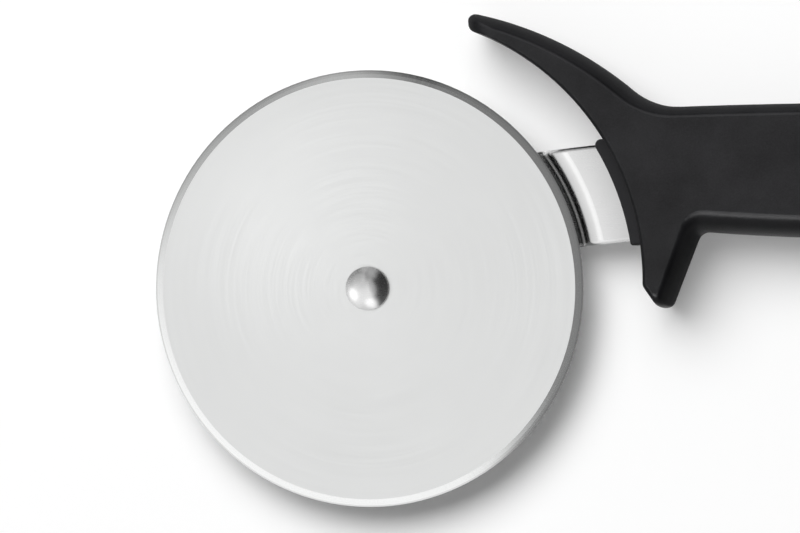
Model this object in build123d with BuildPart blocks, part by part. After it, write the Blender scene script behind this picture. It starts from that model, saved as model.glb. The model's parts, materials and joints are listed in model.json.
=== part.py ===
import os
from math import acos, cos, degrees, radians, sin

from build123d import *

# Sizes are in millimetres and angles in degrees. The cutter lies on its side:
# X runs along the handle to its butt and Z is the axle. The origin is on the
# floor, under the middle of the grip. Reaches and heights are from the axle.

# Blade
disc_diameter = 101.6
disc_thickness = 1.5
main_bevel_width = 0.9
main_bevel_depth = 0.3
edge_bevel_width = 0.9
edge_thickness = 0.16

# Bearing
journal_diameter = 6.0
running_clearance = 0.05
bush_wall = 1.4
bush_stand_out = 0.2
end_play = 0.1

# Washers
washer_clearance = 0.1
front_washer_diameter = 9.4
front_washer_thickness = 0.4
rear_washer_diameter = 14.0
rear_washer_thickness = 1.4
burr_diameter = 11.0
burr_thickness = 1.0

# Rivet
head_diameter = 10.1
head_land = 0.3
head_dome = 2.2
tenon_diameter = 4.5
tail_diameter = 7.6
tail_height = 1.4

# Arm, pressed from sheet
sheet_thickness = 2.0
step_root_radius = 1.5
step_crest_radius = 5.4
step_crest_gap = 6.05
arm_edge_share = 0.45
boss_radius = 10.0
neck_width = 23.0
neck_slope = 6.2
neck_bearing = 20.05
neck_run_in = 4.0
upper_bend_setback = 29.6
lower_bend_setback = 22.6
upper_bend_radius = 45.0
lower_bend_radius = 60.0
tang_width = 15.6
tang_length = 66.0
tang_shoulder = 14.0
tang_shoulder_radius = 8.0
tang_corner_radius = 5.0
tang_hole_diameter = 7.0
tang_hole_count = 3
tang_hole_pitch = 16.0
tang_hole_margin = 13.0

# Core moulded on the tang; its front end is the lip at the handle's mouth
core_wall = 1.1
core_cover = 2.4
lip_stand_out = 2.5
lip_edge_radius = 0.6
lip_upper_radius = 1.4
lip_lower_radius = 0.7

# Handle
handle_thickness = 19.0
handle_reach = 185.2
crown_depth = 2.8
crown_steps = 6
underside_draw = 2.3
guard_gap = 14.85
guard_edge_round = 1.3
guard_belly = 0.35
guard_belly_bearing = 33.0
grip_reach = 128.0
grip_rise = 27.1
grip_height = 31.0

# Thumb guard
thumb_tip_bearing = 69.5
thumb_tip_width = 3.7
thumb_tip_slant = 1.7
thumb_tip_outer_round = 0.4
thumb_tip_inner_round = 0.6
thumb_tip_hook = 1.05
thumb_middle_bearing = 51.3
thumb_middle_width = 7.05
thumb_root_height = 41.7
thumb_root_setback = 1.25
thumb_root_radius = 17.0

# Finger guard
finger_root_height = 13.1
finger_root_setback = 12.65
finger_root_radius = 3.0
finger_tip_drop = 6.5
finger_tip_setback = 5.0
finger_tip_radius = 1.9
finger_tip_side_radius = 0.8
finger_front_bearing = 0.3
finger_front_radius = 3.0
finger_front_side_radius = 0.8

# Butt
butt_top_height = 41.4
butt_top_inset = 8.2
butt_top_radius = 8.0
butt_heel_height = 10.0
butt_heel_inset = 6.2
butt_heel_radius = 6.5
waist_height = 13.0
waist_inset = 29.2
waist_radius = 40.0
waist_hollow = 0.6
hang_hole_diameter = 8.0
hang_hole_inset = 12.0
hang_hole_edge_radius = 1.2

disc_radius = disc_diameter / 2
journal_radius = journal_diameter / 2
bush_bore_radius = journal_radius + running_clearance
hub_radius = bush_bore_radius + bush_wall
bush_end = disc_thickness / 2 + bush_stand_out
washer_face = bush_end + end_play
washer_bore_radius = journal_radius + washer_clearance
head_seat = washer_face + front_washer_thickness
arm_seat = washer_face + rear_washer_thickness
burr_back = arm_seat + sheet_thickness + burr_thickness
guard_face = disc_radius + guard_gap
mouth_radius = guard_face - lip_stand_out
tang_end = guard_face + tang_length
tang_middle = tang_end - tang_hole_margin - tang_hole_pitch * (tang_hole_count - 1) / 2
hang_reach = handle_reach - hang_hole_inset

wheel_plane = Plane(origin=(-grip_reach, -grip_rise, handle_thickness / 2))
section_plane = Plane(origin=wheel_plane.origin, x_dir=(1, 0, 0), z_dir=(0, -1, 0))
tang_plane = Plane(origin=(tang_middle - grip_reach, 0, 0))
hang_plane = Plane(origin=(hang_reach - grip_reach, 0, 0))
axle = Axis(wheel_plane.origin, (0, 0, 1))


def polar(radius, bearing):
    """Point at a radius from the axle, at a bearing above the handle's direction."""
    return Vector(radius * cos(radians(bearing)), radius * sin(radians(bearing)))


# Blade, with a main bevel and a finer cutting bevel on both sides
edge_start = disc_radius - edge_bevel_width
bevel_start = edge_start - main_bevel_width
with BuildPart() as blade_disc:
    with BuildSketch(section_plane):
        with BuildLine():
            front_half = Polyline(
                (hub_radius, 0),
                (hub_radius, disc_thickness / 2),
                (bevel_start, disc_thickness / 2),
                (edge_start, disc_thickness / 2 - main_bevel_depth),
                (disc_radius, edge_thickness / 2),
                (disc_radius, 0),
            )
            mirror(front_half, about=Plane.XZ)
        make_face()
    revolve(axis=axle)

# Bush pressed into the blade, proud of it on both sides
with BuildPart() as hub_bush:
    with BuildSketch(wheel_plane.offset(-bush_end)):
        Circle(hub_radius)
        Circle(bush_bore_radius, mode=Mode.SUBTRACT)
    extrude(amount=2 * bush_end)

# Washer under the rivet's head
with BuildPart() as front_washer:
    with BuildSketch(wheel_plane.offset(washer_face)):
        Circle(front_washer_diameter / 2)
        Circle(washer_bore_radius, mode=Mode.SUBTRACT)
    extrude(amount=front_washer_thickness)

# Spacer between the blade and the arm
with BuildPart() as rear_washer:
    with BuildSketch(wheel_plane.offset(-arm_seat)):
        Circle(rear_washer_diameter / 2)
        Circle(washer_bore_radius, mode=Mode.SUBTRACT)
    extrude(amount=rear_washer_thickness)

# Washer that the rivet's tail is closed over
with BuildPart() as burr_washer:
    with BuildSketch(wheel_plane.offset(-burr_back)):
        Circle(burr_diameter / 2)
        Circle(tenon_diameter / 2, mode=Mode.SUBTRACT)
    extrude(amount=burr_thickness)

# Shouldered rivet: domed head, journal, tenon through the arm, closed tail
head_radius = head_diameter / 2
head_rim = head_seat + head_land
head_top = head_rim + head_dome
head_sphere = (head_radius**2 + head_dome**2) / (2 * head_dome)
tail_radius = tail_diameter / 2
tail_top = -burr_back - tail_height
tail_sphere = (tail_radius**2 + tail_height**2) / (2 * tail_height)
with BuildPart() as axle_rivet:
    with BuildSketch(section_plane):
        with BuildLine():
            RadiusArc((0, tail_top), (tail_radius, -burr_back), -tail_sphere)
            Polyline(
                (tail_radius, -burr_back),
                (tenon_diameter / 2, -burr_back),
                (tenon_diameter / 2, -arm_seat),
                (journal_radius, -arm_seat),
                (journal_radius, head_seat),
                (head_radius, head_seat),
                (head_radius, head_rim),
            )
            RadiusArc((head_radius, head_rim), (0, head_top), -head_sphere)
            Line((0, head_top), (0, tail_top))
        make_face()
    revolve(axis=axle)

# Outline of the arm: boss at the axle, neck, and tang inside the handle
neck_frame = Plane(origin=polar(guard_face, neck_bearing), x_dir=polar(1, neck_slope))
neck_upper = neck_frame.from_local_coords((neck_run_in, neck_width / 2))
neck_lower = neck_frame.from_local_coords((neck_run_in, -neck_width / 2))
upper_bend = neck_frame.from_local_coords((-upper_bend_setback, neck_width / 2))
lower_bend = neck_frame.from_local_coords((-lower_bend_setback, -neck_width / 2))
tang_start = guard_face + tang_shoulder
tang_upper = grip_rise + tang_width / 2
tang_lower = grip_rise - tang_width / 2
with BuildSketch(wheel_plane) as arm_outline:
    Circle(boss_radius)
    with BuildLine():
        Line(upper_bend, lower_bend)
    make_hull()
    with BuildLine():
        Polyline(
            upper_bend,
            neck_upper,
            (tang_start, tang_upper),
            (tang_end, tang_upper),
            (tang_end, tang_lower),
            (tang_start, tang_lower),
            neck_lower,
            lower_bend,
            close=True,
        )
    make_face()
    fillet(arm_outline.vertices().sort_by_distance(upper_bend)[0], upper_bend_radius)
    fillet(arm_outline.vertices().sort_by_distance(lower_bend)[0], lower_bend_radius)
    fillet(arm_outline.vertices().sort_by_distance((tang_start, tang_lower))[0], tang_shoulder_radius)
    fillet(arm_outline.vertices().group_by(Axis.X)[-1], tang_corner_radius)

# Arm: the sheet rolls over and steps back behind the blade along an arc about the axle
crest_radius = step_crest_radius - sheet_thickness / 2
root_radius = step_root_radius + sheet_thickness / 2
boss_level = -arm_seat - sheet_thickness / 2
step_angle = acos(1 + boss_level / (crest_radius + root_radius))
step_end = disc_radius + step_crest_gap
step_start = step_end - (crest_radius + root_radius) * sin(step_angle)
with BuildPart() as arm:
    with BuildSketch(section_plane):
        with BuildLine():
            Line((0, boss_level), (step_start, boss_level))
            CenterArc((step_start, boss_level + root_radius), root_radius, -90, degrees(step_angle))
            CenterArc((step_end, -crest_radius), crest_radius, 90 + degrees(step_angle), -degrees(step_angle))
            Line((step_end, 0), (handle_reach, 0))
        trace(line_width=sheet_thickness)
    revolve(axis=axle)
    extrude(arm_outline.sketch, amount=handle_thickness, both=True, mode=Mode.INTERSECT)
    cut_edges = arm.faces().filter_by(lambda face: abs(face.normal_at().Z) < sin(step_angle / 2))
    fillet(cut_edges.edges().filter_by(Axis.Z, reverse=True), arm_edge_share * sheet_thickness)
    with BuildSketch(wheel_plane):
        Circle(tenon_diameter / 2)
    extrude(amount=-handle_thickness, mode=Mode.SUBTRACT)
    with BuildSketch(tang_plane):
        with GridLocations(tang_hole_pitch, 0, tang_hole_count, 1):
            Circle(tang_hole_diameter / 2)
    extrude(amount=handle_thickness, mode=Mode.SUBTRACT)

# Outside of the core, as the handle is moulded over it
with BuildPart() as core_blank:
    with BuildSketch(wheel_plane):
        add(arm_outline.sketch_local)
        offset(amount=core_wall, mode=Mode.REPLACE)
        Circle(mouth_radius, mode=Mode.SUBTRACT)
    extrude(amount=sheet_thickness / 2 + core_cover, both=True)
    lip = core_blank.faces().filter_by(GeomType.CYLINDER).sort_by_distance(wheel_plane.origin)[0]
    lip_corners = lip.edges().filter_by(Axis.Z).sort_by(Axis.Y)
    fillet(lip_corners[-1], lip_upper_radius)
    fillet(lip_corners[0], lip_lower_radius)
    lip = core_blank.faces().filter_by(GeomType.CYLINDER).sort_by_distance(wheel_plane.origin)[0]
    fillet(lip.edges().filter_by(GeomType.CIRCLE), lip_edge_radius)

# Core, closed around the tang and through its holes
with BuildPart() as tang_core:
    add(core_blank.part)
    add(arm.part, mode=Mode.SUBTRACT)

# Handle: outlines stacked through its thickness, drawn in towards both sides. The guards'
# front faces stay upright, so their points move out by as much as the outline draws them in.
thumb_root = (guard_face + thumb_root_setback, thumb_root_height)
thumb_middle = polar(guard_face + thumb_middle_width, thumb_middle_bearing)
thumb_growth = thumb_middle_width + thumb_tip_hook - thumb_tip_width
thumb_taper = thumb_growth / (thumb_tip_bearing - thumb_middle_bearing)
thumb_inner = guard_face - thumb_tip_hook
finger_corner = Vector(guard_face + finger_tip_setback, -finger_tip_drop)
finger_back = finger_corner - Vector(guard_face + finger_root_setback, finger_root_height)
finger_face = polar(guard_face, finger_front_bearing) - finger_corner
finger_spread = finger_back * (finger_face.length / finger_back.cross(finger_face).length)
butt_top = (handle_reach - butt_top_inset, butt_top_height)
butt_heel = (handle_reach - butt_heel_inset, butt_heel_height)
with BuildPart() as handle_grip:
    for step in range(-crown_steps, crown_steps + 1):
        turn = radians(90 * step / crown_steps)
        share = 1 - cos(turn)
        inset = crown_depth * share
        front_inset = guard_edge_round * share**2
        spread = inset - front_inset
        lift = underside_draw * share
        guard_middle = polar(guard_face + guard_belly - spread, guard_belly_bearing)
        finger_front = polar(guard_face - spread, finger_front_bearing)
        finger_tip = finger_corner + finger_spread * spread
        finger_root = (guard_face + finger_root_setback, finger_root_height + lift)
        waist = (handle_reach - waist_inset, waist_height + lift)
        hollow = ((butt_heel[0] + waist[0]) / 2, (butt_heel[1] + waist[1]) / 2 + waist_hollow)
        grip_upper = (grip_reach, grip_rise + grip_height / 2)
        grip_lower = (grip_reach, grip_rise - grip_height / 2 + lift)
        tip_width = thumb_tip_width - inset
        tip_bearing = thumb_tip_bearing - front_inset / thumb_taper
        tip_inner = polar(thumb_inner - spread, tip_bearing - thumb_tip_slant)
        tip_outer = polar(thumb_inner + thumb_tip_width + front_inset, tip_bearing)
        finger_tip_round = finger_tip_radius + (finger_tip_side_radius - finger_tip_radius) * share
        finger_front_round = finger_front_radius + (finger_front_side_radius - finger_front_radius) * share
        with BuildSketch(wheel_plane.offset(sin(turn) * handle_thickness / 2)) as outline:
            with BuildLine():
                ThreePointArc(finger_front, guard_middle, tip_inner)
                Line(tip_inner, tip_outer)
                ThreePointArc(tip_outer, thumb_middle, thumb_root)
                ThreePointArc(thumb_root, grip_upper, butt_top)
                ThreePointArc(butt_top, (handle_reach, grip_rise), butt_heel)
                ThreePointArc(butt_heel, hollow, waist)
                ThreePointArc(waist, grip_lower, finger_root)
                Line(finger_root, finger_tip)
                Line(finger_tip, finger_front)
            make_face()
            fillet(outline.vertices().sort_by_distance(thumb_root)[0], thumb_root_radius)
            fillet(outline.vertices().sort_by_distance(finger_root)[0], finger_root_radius)
            fillet(outline.vertices().sort_by_distance(waist)[0], waist_radius)
            if step != 0:
                offset(amount=-inset, mode=Mode.REPLACE)
            fillet(outline.vertices().sort_by_distance(tip_outer)[0], thumb_tip_outer_round * tip_width)
            fillet(outline.vertices().sort_by_distance(tip_inner)[0], thumb_tip_inner_round * tip_width)
            fillet(outline.vertices().sort_by_distance(butt_top)[0], butt_top_radius - inset)
            fillet(outline.vertices().sort_by_distance(butt_heel)[0], butt_heel_radius - inset)
            fillet(outline.vertices().sort_by_distance(finger_tip)[0], finger_tip_round)
            fillet(outline.vertices().sort_by_distance(finger_front)[0], finger_front_round)
    loft()
    add(core_blank.part, mode=Mode.SUBTRACT)
    with BuildSketch(hang_plane):
        Circle(hang_hole_diameter / 2)
    extrude(amount=handle_thickness, mode=Mode.SUBTRACT)
    hang_hole = handle_grip.faces().filter_by(GeomType.CYLINDER).sort_by(Axis.X)[-1]
    fillet(hang_hole.edges().filter_by(GeomType.CIRCLE), hang_hole_edge_radius)

os.makedirs("parts", exist_ok=True)
blade_disc.part.label = "blade_disc"
export_step(blade_disc.part, "parts/blade_disc.step")
hub_bush.part.label = "hub_bush"
export_step(hub_bush.part, "parts/hub_bush.step")
front_washer.part.label = "front_washer"
export_step(front_washer.part, "parts/front_washer.step")
rear_washer.part.label = "rear_washer"
export_step(rear_washer.part, "parts/rear_washer.step")
burr_washer.part.label = "burr_washer"
export_step(burr_washer.part, "parts/burr_washer.step")
axle_rivet.part.label = "axle_rivet"
export_step(axle_rivet.part, "parts/axle_rivet.step")
arm.part.label = "arm"
export_step(arm.part, "parts/arm.step")
tang_core.part.label = "tang_core"
export_step(tang_core.part, "parts/tang_core.step")
handle_grip.part.label = "handle_grip"
export_step(handle_grip.part, "parts/handle_grip.step")
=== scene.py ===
import json
from math import cos, radians, sin

import bpy
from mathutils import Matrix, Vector


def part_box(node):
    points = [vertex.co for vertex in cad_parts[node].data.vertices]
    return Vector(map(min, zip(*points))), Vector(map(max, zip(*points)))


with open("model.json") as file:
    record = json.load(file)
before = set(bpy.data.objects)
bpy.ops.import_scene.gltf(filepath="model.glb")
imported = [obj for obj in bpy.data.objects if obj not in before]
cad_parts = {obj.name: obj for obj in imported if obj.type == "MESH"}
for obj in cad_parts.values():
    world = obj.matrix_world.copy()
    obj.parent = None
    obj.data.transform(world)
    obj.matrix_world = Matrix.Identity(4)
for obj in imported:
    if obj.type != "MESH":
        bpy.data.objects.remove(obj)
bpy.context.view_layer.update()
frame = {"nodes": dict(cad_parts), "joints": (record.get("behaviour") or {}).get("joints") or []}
nodes = frame["nodes"]

# Places on the object, in metres
spin = next(joint for joint in frame["joints"] if joint["name"] == "blade_spin")
AXLE = Vector(spin["pos_m"])
disc_low, disc_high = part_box("blade_disc")
DISC_RADIUS = (disc_high[0] - disc_low[0]) / 2
BEVEL_START = DISC_RADIUS - 0.0018
EDGE_START = DISC_RADIUS - 0.0005
EDGE_FADE = 0.0003

# Finishes. Pairs run from low to high with the noise that varies them.
NOISE_SPREAD = (0.3, 0.7)
BLADE_SPREAD = (0.25, 0.75)
BLADE_TONE = ((0.813, 0.820, 0.816), (0.853, 0.860, 0.856))
# Darkening at the cutting edge, painted shade
BLADE_EDGE_SHADE = 0.80
BLADE_FACE_ROUGH = (0.30, 0.38)
BLADE_BEVEL_ROUGH = (0.16, 0.26)
STEEL_MARK_DEPTH = 0.000002
STEEL_LINES = (160.0, 2600.0, 900.0)
# Painted light and shade on the arm, as its tone at distances from the axle: painted shade beside the
# blade, a painted highlight over the bend, and painted shade again towards the handle
ARM_PAINTED_LIGHT = (
    (0.0508, 0.30),
    (0.0513, 0.30),
    (0.0516, 1.0),
    (0.0530, 1.0),
    (0.0536, 0.74),
    (0.0548, 0.86),
    (0.0556, 0.94),
    (0.0563, 0.98),
    (0.0572, 0.96),
    (0.0632, 0.75),
)
# Metal shine of the arm at distances from the axle: a less metallic band in the dark band shows as a
# lighter line, a painted highlight
ARM_POLISH_AND_HIGHLIGHT = ((0.0512, 1.0), (0.0516, 0.74), (0.0519, 0.74), (0.0523, 1.0))
PLASTIC_SPECULAR = 0.045
BEARING_TONE = ((0.80, 0.79, 0.75), (0.85, 0.84, 0.80))
BEARING_ROUGH = (0.38, 0.5)
BEARING_GRAIN_DEPTH = 0.00001

# Floor and surround
FLOOR_SIZE = 6.0
FLOOR_HEIGHT = -0.0001
FLOOR_COLOUR = (0.92, 0.92, 0.92, 1.0)
FLOOR_GLOW = 0.04
WHITE = (1.0, 1.0, 1.0, 1.0)
AMBIENT = 0.235
BACKGROUND = 1.0

# Lamps, all aimed at one place on the cutter
LAMP_AIM = Vector((-0.06, -0.02, 0.0))
STUDIO_TILT = radians(35.0)
STUDIO_DISTANCE = 4.0
STUDIO_SIZE = 3.333
# Name, azimuth in degrees, watts
STUDIO_LAMPS = (("key", 130.0, 80.0), ("second", 100.0, 54.0), ("fill", 100.0, 49.0))
# Name, piece it lights, way to it, distance, size, narrow size of an oval one, watts
PANELS = (
    ("rivet_left", "axle_rivet", (-0.87, -0.30, 0.39), 1.0, 0.66, None, 0.68),
    ("rivet_top", "axle_rivet", (0.17, 0.05, 1.0), 1.0, 1.60, 0.58, 1.15),
    ("rivet_far", "axle_rivet", (0.10, 0.80, 0.58), 1.0, 0.60, None, 0.36),
    ("rivet_back", "axle_rivet", (-0.64, 0.50, 0.58), 1.0, 0.90, None, 0.50),
    ("rivet_low", "axle_rivet", (0.10, -0.85, 0.50), 1.0, 0.80, None, 0.9),
    ("blade_right", "blade_disc", (0.36, 0.12, 0.925), 1.0, 1.90, 0.80, 0.70),
    ("blade_low", "blade_disc", (0.82, 0.49, 0.29), 1.0, 1.80, 0.60, 1.08),
    ("blade_patch", "blade_disc", (-0.75, 0.085, 0.685), 0.142, 0.055, None, 0.0013),
    ("arm_streak", "arm", (-0.40, -0.055, 0.915), 1.0, 0.46, None, 0.20),
    ("grip_low", "handle_grip", (-0.19, -0.43, 0.88), 1.0, 0.50, None, 21.0),
    ("grip_high", "handle_grip", (-0.19, 0.62, 0.76), 1.0, 1.10, None, 23.5),
    ("grip_left", "handle_grip", (-0.55, -0.10, 0.83), 1.0, 0.45, None, 3.5),
    ("grip_front", "handle_grip", (-0.20, -0.87, 0.35), 1.0, 1.0, None, 3.0),
)
# Panels that show in the handle's gloss and leave its colour alone
GLOSS_ONLY = ("grip_low", "grip_high", "grip_left")

# Camera: the photograph looks down on the cutter, turned a little about the upright of the picture
CAMERA_TURN = radians(11.684)
CAMERA_DISTANCE = 1.5
CAMERA_AIM = Vector((-0.120475, -0.021974, 0.0095))
CAMERA_REACH = 50.0
SENSOR_MM = 36.0
LENS_MM = 290.5


# Shader helpers
class Tree:
    """Thin helper around a node tree."""

    def __init__(self, tree):
        self.tree = tree
        tree.nodes.clear()

    def node(self, kind, inputs=None, **settings):
        made = self.tree.nodes.new(kind)
        for key, value in settings.items():
            setattr(made, key, value)
        for key, value in (inputs or {}).items():
            self.feed(made.inputs[key], value)
        return made

    def feed(self, socket, value):
        if isinstance(value, bpy.types.NodeSocket):
            self.tree.links.new(value, socket)
        else:
            socket.default_value = value

    def math(self, operation, *values):
        made = self.node("ShaderNodeMath", dict(enumerate(values)), operation=operation)
        return made.outputs[0]

    def blend(self, a, b, share):
        """The share of a, and b for the rest."""
        return self.math("ADD", self.math("MULTIPLY", a, share), self.math("MULTIPLY", b, 1.0 - share))

    def choose(self, factor, a, b):
        """Where the factor is 0 it is a, and where it is 1 it is b."""
        return self.node("ShaderNodeMix", {"Factor": factor, "A": a, "B": b}).outputs[0]

    def vector(self, operation, *values):
        made = self.node("ShaderNodeVectorMath", dict(enumerate(values)), operation=operation)
        return made.outputs[0]

    def split(self, vector):
        return self.node("ShaderNodeSeparateXYZ", {"Vector": vector}).outputs

    def span(self, value, low, high, out_low=0.0, out_high=1.0, smooth=True):
        """The value's run from low to high, turned into one from out_low to out_high."""
        made = self.node(
            "ShaderNodeMapRange",
            dict(enumerate((value, low, high, out_low, out_high))),
            interpolation_type="SMOOTHSTEP" if smooth else "LINEAR",
        )
        return made.outputs[0]

    def noise(self, where, scale, detail, rough):
        settings = {"Vector": where, "Scale": scale, "Detail": detail, "Roughness": rough}
        return self.node("ShaderNodeTexNoise", settings).outputs["Fac"]

    def ramp(self, value, places, tones):
        made = self.node("ShaderNodeValToRGB", {0: value})
        elements = made.color_ramp.elements
        while len(elements) < len(places):
            elements.new(0.5)
        for element, place, tone in zip(elements, places, tones):
            element.position = place
            element.color = (*tone, 1.0) if isinstance(tone, tuple) else (tone, tone, tone, 1.0)
        return made.outputs[0]

    def bump(self, height, distance, strength):
        settings = {"Strength": strength, "Distance": distance, "Height": height}
        return self.node("ShaderNodeBump", settings).outputs["Normal"]

    def where(self):
        return self.node("ShaderNodeTexCoord").outputs["Object"]

    def about_axle(self):
        """Place from the axle, the same without its height, and the distance from the axle."""
        there = self.vector("SUBTRACT", self.where(), tuple(AXLE))
        flat = self.vector("MULTIPLY", there, (1.0, 1.0, 0.0))
        radius = self.node("ShaderNodeVectorMath", {0: flat}, operation="LENGTH").outputs["Value"]
        return there, flat, radius

    def from_axle(self, radius, stops):
        """Grey that follows stops of a distance from the axle and a grey."""
        start, end = stops[0][0], stops[-1][0]
        along = self.span(radius, start, end, smooth=False)
        places = [(reach - start) / (end - start) for reach, _ in stops]
        return self.ramp(along, places, [grey for _, grey in stops])


def material(name):
    made = bpy.data.materials.new(name)
    made.use_nodes = True
    tree = Tree(made.node_tree)
    shader = tree.node("ShaderNodeBsdfPrincipled")
    tree.node("ShaderNodeOutputMaterial", {"Surface": shader.outputs[0]})
    return made, tree, shader.inputs


# Materials
def blade_steel():
    made, tree, shader = material("blade_steel")
    there, flat, radius = tree.about_axle()
    turned = tree.split(tree.vector("NORMALIZE", flat))

    def marks(across, around, detail, rough):
        """Noise that changes so quickly across the radius and around the axle."""
        where = tree.node(
            "ShaderNodeCombineXYZ",
            {
                "X": tree.math("MULTIPLY", radius, across),
                "Y": tree.math("MULTIPLY", turned[0], around),
                "Z": tree.math("MULTIPLY", turned[1], around),
            },
        )
        return tree.noise(where.outputs[0], scale=1.0, detail=detail, rough=rough)

    # Fine rings left by the finishing wheel, and grinding marks across the bevel
    rings = marks(across=5200.0, around=1.4, detail=3.0, rough=0.6)
    cuts = marks(across=300.0, around=420.0, detail=2.0, rough=0.5)
    smear = tree.noise(there, scale=38.0, detail=3.0, rough=0.55)
    bevel = tree.math("GREATER_THAN", radius, BEVEL_START)
    tone = tree.ramp(tree.blend(rings, smear, share=0.4), BLADE_SPREAD, BLADE_TONE)
    # A fine darker line at the cutting edge: painted shade of the rim
    edge_shade = tree.span(radius, EDGE_START, EDGE_START + EDGE_FADE, 1.0, BLADE_EDGE_SHADE)
    toned = tree.node("ShaderNodeVectorMath", {0: tone, "Scale": edge_shade}, operation="SCALE")
    tree.feed(shader["Base Color"], toned.outputs[0])
    tree.feed(shader["Metallic"], 1.0)
    face_rough = tree.span(rings, *NOISE_SPREAD, *BLADE_FACE_ROUGH)
    bevel_rough = tree.span(cuts, *NOISE_SPREAD, *BLADE_BEVEL_ROUGH)
    tree.feed(shader["Roughness"], tree.choose(bevel, face_rough, bevel_rough))
    height = tree.choose(bevel, rings, cuts)
    tree.feed(shader["Normal"], tree.bump(height, STEEL_MARK_DEPTH, strength=0.5))
    return made


def polished_steel(name, rough, tones, painted_light=(), polish_and_highlight=()):
    """Steel; its tone and its metal shine can follow stops of distance from the axle, which on the arm
    paint light and shade and a highlight line.
    """
    made, tree, shader = material(name)
    there, _, radius = tree.about_axle()
    drawn = tree.vector("MULTIPLY", there, STEEL_LINES)
    lines = tree.noise(drawn, scale=1.0, detail=3.0, rough=0.55)
    smear = tree.noise(there, scale=90.0, detail=3.0, rough=0.6)
    tone = tree.ramp(smear, NOISE_SPREAD, tones)
    # Tone by distance from the axle: painted light and shade
    if painted_light:
        tone = tree.vector("MULTIPLY", tone, tree.from_axle(radius, painted_light))
    tree.feed(shader["Base Color"], tone)
    tree.feed(shader["Metallic"], tree.from_axle(radius, polish_and_highlight) if polish_and_highlight else 1.0)
    mixed = tree.blend(lines, smear, share=0.6)
    tree.feed(shader["Roughness"], tree.span(mixed, *NOISE_SPREAD, *rough))
    tree.feed(shader["Normal"], tree.bump(lines, STEEL_MARK_DEPTH, strength=0.06))
    return made


def black_plastic(name, rough, tones, grain_depth, dull_sides=0.0):
    """Moulded plastic; dull_sides is the roughness that its upright faces have on top of that."""
    made, tree, shader = material(name)
    where = tree.where()
    coarse = tree.noise(where, scale=2600.0, detail=3.0, rough=0.6)
    fine = tree.noise(where, scale=7000.0, detail=2.0, rough=0.5)
    cloud = tree.noise(where, scale=60.0, detail=3.0, rough=0.6)
    grain = tree.blend(coarse, fine, share=0.65)
    mixed = tree.blend(grain, cloud, share=0.5)
    tree.feed(shader["Base Color"], tree.ramp(mixed, NOISE_SPREAD, tones))
    roughness = tree.span(mixed, *NOISE_SPREAD, *rough)
    if dull_sides:
        # The sides keep the dull finish of the mould; the top and the finger side are worn smoother
        facing = tree.split(tree.node("ShaderNodeTexCoord").outputs["Normal"])
        upright = tree.span(facing[2], 0.80, 0.40)
        untouched = tree.span(facing[1], -0.90, -0.60)
        dull = tree.math("MULTIPLY", upright, untouched)
        roughness = tree.math("MULTIPLY_ADD", dull, dull_sides, roughness)
    tree.feed(shader["Roughness"], roughness)
    tree.feed(shader["Specular IOR Level"], PLASTIC_SPECULAR)
    tree.feed(shader["Normal"], tree.bump(grain, grain_depth, strength=1.0))
    return made


def bearing_plastic():
    made, tree, shader = material("bearing_plastic")
    where = tree.where()
    cloud = tree.noise(where, scale=400.0, detail=3.0, rough=0.6)
    grain = tree.noise(where, scale=5000.0, detail=2.0, rough=0.5)
    tree.feed(shader["Base Color"], tree.ramp(cloud, NOISE_SPREAD, BEARING_TONE))
    tree.feed(shader["Roughness"], tree.span(cloud, *NOISE_SPREAD, *BEARING_ROUGH))
    tree.feed(shader["Normal"], tree.bump(grain, BEARING_GRAIN_DEPTH, strength=0.4))
    return made


def dress(made, *pieces):
    for piece in pieces:
        slots = nodes[piece].data.materials
        slots.clear()
        slots.append(made)


# The arm's tone and metal shine carry painted shade, a painted highlight over the bend and a painted
# highlight line
arm_steel = polished_steel(
    "arm_steel", rough=(0.25, 0.28), tones=(0.74, 0.79), painted_light=ARM_PAINTED_LIGHT, polish_and_highlight=ARM_POLISH_AND_HIGHLIGHT
)
rivet_steel = polished_steel("rivet_steel", rough=(0.26, 0.31), tones=(0.67, 0.73))
handle_plastic = black_plastic(
    "handle_plastic",
    rough=(0.30, 0.35),
    tones=((0.0024, 0.0024, 0.0027), (0.0126, 0.0126, 0.0140)),
    grain_depth=0.00004,
    dull_sides=0.35,
)
# Same black plastic as the handle, made lighter to stand in for the panel light that only the handle
# gets: painted light
core_plastic = black_plastic(
    "core_plastic",
    rough=(0.50, 0.58),
    tones=((0.0230, 0.0230, 0.0243), (0.0290, 0.0290, 0.0306)),
    grain_depth=0.00001,
)
dress(blade_steel(), "blade_disc")
dress(arm_steel, "arm")
dress(rivet_steel, "axle_rivet", "burr_washer")
dress(handle_plastic, "handle_grip")
dress(core_plastic, "tang_core")
dress(bearing_plastic(), "hub_bush", "front_washer", "rear_washer")


# Floor: pale, and as white to the camera as the photograph's background
def floor_paper():
    made = bpy.data.materials.new("floor_paper")
    made.use_nodes = True
    tree = Tree(made.node_tree)
    ray = tree.node("ShaderNodeLightPath").outputs
    seen = tree.math("MAXIMUM", ray["Is Camera Ray"], ray["Is Glossy Ray"])
    seen = tree.math("MAXIMUM", seen, ray["Is Transmission Ray"])
    card = tree.node("ShaderNodeBsdfDiffuse", {"Color": FLOOR_COLOUR})
    glow = tree.node("ShaderNodeEmission", {"Strength": tree.math("MULTIPLY", seen, FLOOR_GLOW)})
    both = tree.node("ShaderNodeAddShader", {0: card.outputs[0], 1: glow.outputs[0]})
    tree.node("ShaderNodeOutputMaterial", {"Surface": both.outputs[0]})
    return made


bpy.ops.mesh.primitive_plane_add(size=FLOOR_SIZE, location=(0.0, 0.0, FLOOR_HEIGHT))
floor = bpy.context.object
floor.name = "floor"
floor.data.materials.append(floor_paper())


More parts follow.
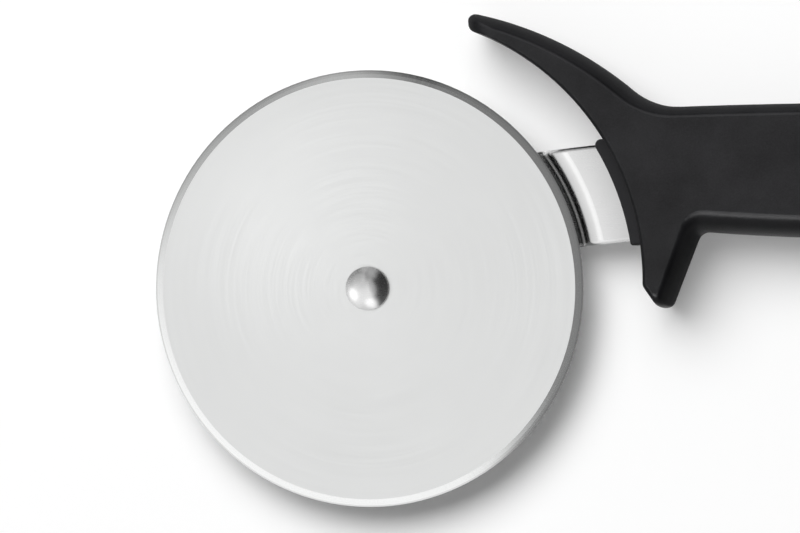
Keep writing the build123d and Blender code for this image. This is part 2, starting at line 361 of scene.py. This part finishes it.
# Studio surround, as the steel sees it: brightest below and to the left of the picture,
# dimmer above it and dark to the right, with some light along the far horizon
def studio():
    world = bpy.data.worlds.new("studio")
    world.use_nodes = True
    tree = Tree(world.node_tree)
    way = tree.split(tree.node("ShaderNodeTexCoord").outputs["Generated"])
    east, north = way[0], way[1]
    slope = tree.span(north, -0.25, 0.95, 1.11, 0.42, smooth=False)
    far_left = tree.math(
        "MULTIPLY", tree.span(east, -0.25, -0.55, 0.0, -0.28), tree.span(north, 0.0, 0.35)
    )
    near_horizon = tree.span(north, -0.75, -0.98, 0.0, -0.30)
    far_horizon = tree.span(north, 0.80, 1.0, 0.0, 0.45)
    lit = tree.math("ADD", tree.math("ADD", slope, far_left), near_horizon)
    across = tree.math("MULTIPLY_ADD", north, 0.35, east)
    side = tree.span(across, -0.07, 0.24, 1.0, 0.05)
    surround = tree.math("MULTIPLY_ADD", lit, side, far_horizon)
    ray = tree.node("ShaderNodeLightPath").outputs
    level = tree.choose(ray["Is Glossy Ray"], AMBIENT, surround)
    level = tree.choose(ray["Is Camera Ray"], level, BACKGROUND)
    back = tree.node("ShaderNodeBackground", {"Color": WHITE, "Strength": level})
    tree.node("ShaderNodeOutputWorld", {"Surface": back.outputs[0]})
    return world


bpy.context.scene.world = studio()


# Lamps
def collection(name, piece):
    made = bpy.data.collections.new(name)
    made.objects.link(nodes[piece])
    return made


def soft_lamp(name, way, distance, size, watts, narrow=None):
    """Soft lamp aimed at the cutter, round or, with a narrow size, oval."""
    data = bpy.data.lights.new(name, "AREA")
    data.shape = "ELLIPSE" if narrow else "DISK"
    data.size = size
    data.size_y = narrow or size
    data.energy = watts
    lamp = bpy.data.objects.new(name, data)
    bpy.context.scene.collection.objects.link(lamp)
    way = Vector(way).normalized()
    lamp.location = LAMP_AIM + distance * way
    lamp.rotation_euler = (-way).to_track_quat("-Z", "Y").to_euler()
    lamp.visible_camera = False
    return lamp


# Three wide lamps from the top of the picture, the key from its upper left, make the soft shadow
for name, azimuth, watts in STUDIO_LAMPS:
    turn = radians(azimuth)
    way = (sin(STUDIO_TILT) * cos(turn), sin(STUDIO_TILT) * sin(turn), cos(STUDIO_TILT))
    lamp = soft_lamp(name, way, STUDIO_DISTANCE, STUDIO_SIZE, watts)
    lamp.visible_glossy = False
    if name == "fill":
        # Its shadow comes from the blade alone, which keeps the floor beside the handle light
        lamp.light_linking.blocker_collection = collection("fill_shadow", "blade_disc")

# Panels that give the steel and the handle their bright streaks, each lighting one piece
for name, piece, way, distance, size, narrow, watts in PANELS:
    lamp = soft_lamp(name, way, distance, size, watts, narrow)
    lamp.light_linking.receiver_collection = collection(name, piece)
    lamp.visible_diffuse = name not in GLOSS_ONLY

# Camera
lens = bpy.data.cameras.new("photo_camera")
lens.sensor_width = SENSOR_MM
lens.lens = LENS_MM
lens.clip_end = CAMERA_REACH
camera = bpy.data.objects.new("photo_camera", lens)
bpy.context.scene.collection.objects.link(camera)
camera.location = CAMERA_AIM + CAMERA_DISTANCE * Vector((sin(CAMERA_TURN), 0.0, cos(CAMERA_TURN)))
camera.rotation_euler = (0.0, CAMERA_TURN, 0.0)
bpy.context.scene.camera = camera
bpy.context.scene.view_settings.view_transform = "Standard"
